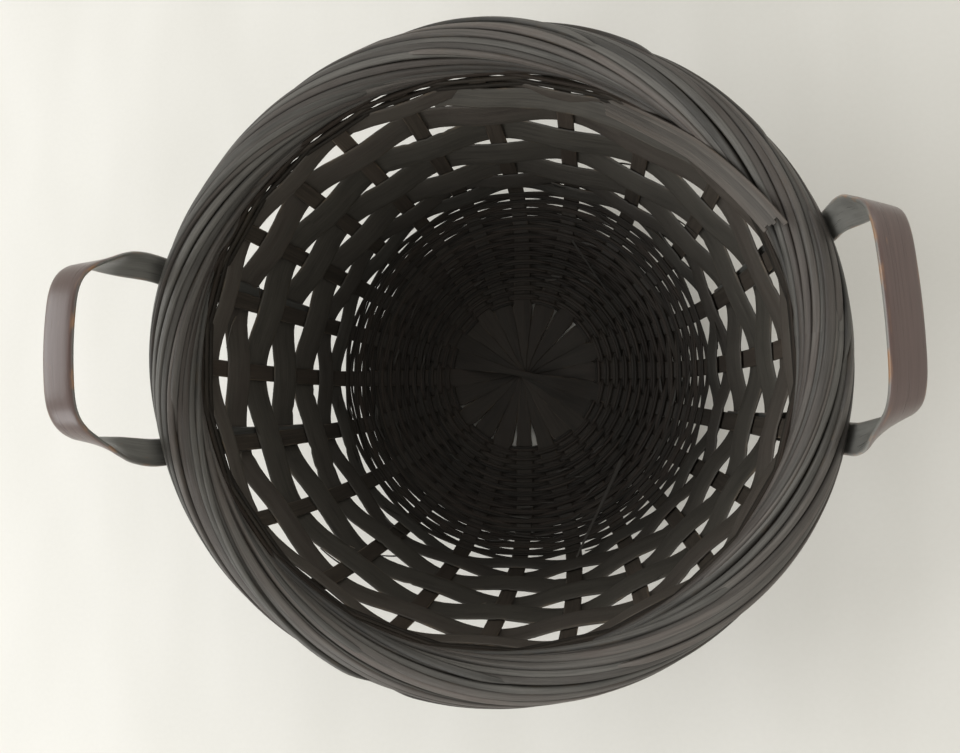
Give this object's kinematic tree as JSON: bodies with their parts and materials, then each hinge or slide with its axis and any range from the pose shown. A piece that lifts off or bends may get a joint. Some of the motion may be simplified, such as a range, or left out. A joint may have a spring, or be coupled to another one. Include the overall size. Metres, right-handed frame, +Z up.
{
  "type": "woven fruit basket",
  "caption": "Round open-weave basket of dark-stained split bamboo, with a closely woven bottom, a twisted rim and two upright ear handles.",
  "frame": {"origin": "middle of the round footprint, on the ground", "axes": "+Z up; the two handles lie on the X axis, one at each end; Y runs across between them"},
  "size_m": [0.2621, 0.244, 0.154],
  "materials": {
    "split_strip": "dark stain, satin",
    "fine_reed": "dark stain, satin",
    "wide_weaver": "dark stain, satin",
    "rim_strand": "dark stain, satin",
    "handle_strip": "red-brown stain on the glossy skin side"
  },
  "bodies": {
    "root": {"through_strip_01": "split_strip", "through_strip_02": "split_strip", "through_strip_03": "split_strip", "through_strip_04": "split_strip", "through_strip_05": "split_strip", "through_strip_06": "split_strip", "through_strip_07": "split_strip", "through_strip_08": "split_strip", "through_strip_09": "split_strip", "through_strip_10": "split_strip", "through_strip_11": "split_strip", "fine_weave_01": "fine_reed", "fine_weave_02": "fine_reed", "fine_weave_03": "fine_reed", "fine_weave_04": "fine_reed", "fine_weave_05": "fine_reed", "fine_weave_06": "fine_reed", "fine_weave_07": "fine_reed", "wide_weaver_01": "wide_weaver", "wide_weaver_02": "wide_weaver", "wide_weaver_03": "wide_weaver", "wide_weaver_04": "wide_weaver", "wide_weaver_05": "wide_weaver", "wide_weaver_06": "wide_weaver", "wide_weaver_07": "wide_weaver", "collar_reeds_inner": "fine_reed", "collar_reeds_outer": "fine_reed", "rim_core": "rim_strand", "rim_strand_01": "rim_strand", "rim_strand_02": "rim_strand", "rim_strand_03": "rim_strand", "rim_strand_04": "rim_strand", "rim_strand_05": "rim_strand", "rim_strand_06": "rim_strand", "handle_left": "handle_strip", "handle_right": "handle_strip"}
  },
  "joints": []
}
